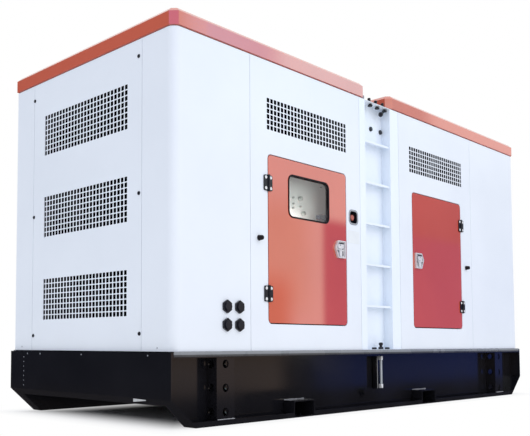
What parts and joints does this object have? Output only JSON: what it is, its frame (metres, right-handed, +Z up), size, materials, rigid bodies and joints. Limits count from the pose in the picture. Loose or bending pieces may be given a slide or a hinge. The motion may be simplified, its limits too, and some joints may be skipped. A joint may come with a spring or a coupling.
{
  "type": "diesel generator",
  "caption": "Large soundproofed generating set: hollow panelled canopy with opening doors, perforated grilles, ladder recess and tray roof on a folded channel skid.",
  "frame": {"origin": "under the middle of the skid, on the floor", "axes": "+X along the length, -Y out of the side with the ladder and doors, +Z up"},
  "size_m": [4.5, 1.724, 2.387],
  "materials": {
    "canopy_paint": "satin white enamel",
    "grille_paint": "satin white enamel on perforated sheet",
    "red_paint": "satin red enamel",
    "skid_paint": "gloss black enamel",
    "black_plastic": "matt black moulding",
    "red_plastic": "gloss red moulding",
    "chrome_plate": "chrome plated zinc",
    "window_glass": "grey tinted glass",
    "seal_rubber": "black rubber",
    "cabinet_paint": "grey powder coat",
    "tank_paint": "matt black paint"
  },
  "bodies": {
    "housing": {"skid_beam_front": "skid_paint", "skid_beam_rear": "skid_paint", "skid_ends": "skid_paint", "fork_sleeves": "skid_paint", "lifting_posts": "skid_paint", "fuel_tank": "tank_paint", "level_gauge": "skid_paint", "drain_plug": "skid_paint", "deck": "skid_paint", "corner_panels_front": "canopy_paint", "corner_panels_rear": "canopy_paint", "end_panels": "canopy_paint", "end_grilles": "grille_paint", "side_grilles": "grille_paint", "door_jambs": "canopy_paint", "walls_over_doors": "canopy_paint", "walls_under_doors": "canopy_paint", "rear_wall_left": "canopy_paint", "rear_wall_right": "canopy_paint", "rear_centre_strip": "canopy_paint", "door_seals": "seal_rubber", "ladder_channel": "canopy_paint", "ladder_rungs": "canopy_paint", "roof_deck": "canopy_paint", "roof_cap_left": "red_paint", "roof_cap_right": "red_paint", "rear_doors": "red_paint", "rear_hinges": "black_plastic", "rear_latches": "chrome_plate", "wall_hinges": "black_plastic", "bumpers": "black_plastic", "cable_glands": "black_plastic", "stop_housing": "black_plastic", "control_cabinet": "cabinet_paint"},
    "door_left": {"door_left": "red_paint", "door_left_gasket": "seal_rubber", "door_left_glass": "window_glass", "door_left_hinges": "black_plastic", "door_left_latch": "chrome_plate"},
    "door_right": {"door_right": "red_paint", "door_right_hinges": "black_plastic", "door_right_latch": "chrome_plate"},
    "paddle_left": {"paddle_left": "chrome_plate"},
    "paddle_right": {"paddle_right": "chrome_plate"},
    "stop_button": {"stop_button": "red_plastic"}
  },
  "joints": [
    {"name": "door_left_hinge", "type": "hinge", "parent": "housing", "child": "door_left", "pos_m": [-1.4165, -0.839, 1.138], "axis": [0, 0, -1], "range_deg": [0, 160]},
    {"name": "door_right_hinge", "type": "hinge", "parent": "housing", "child": "door_right", "pos_m": [1.1305, -0.839, 1.138], "axis": [0, 0, 1], "range_deg": [0, 160]},
    {"name": "paddle_left_pivot", "type": "hinge", "parent": "door_left", "child": "paddle_left", "pos_m": [-0.655, -0.842, 1.1245], "axis": [-1, 0, 0], "range_deg": [0, 60]},
    {"name": "paddle_right_pivot", "type": "hinge", "parent": "door_right", "child": "paddle_right", "pos_m": [0.419, -0.842, 1.1245], "axis": [-1, 0, 0], "range_deg": [0, 60]},
    {"name": "stop_button_press", "type": "slide", "parent": "housing", "child": "stop_button", "axis": [0, 1, 0], "range_m": [0, 0.006], "stiffness_N_per_m": 500}
  ]
}
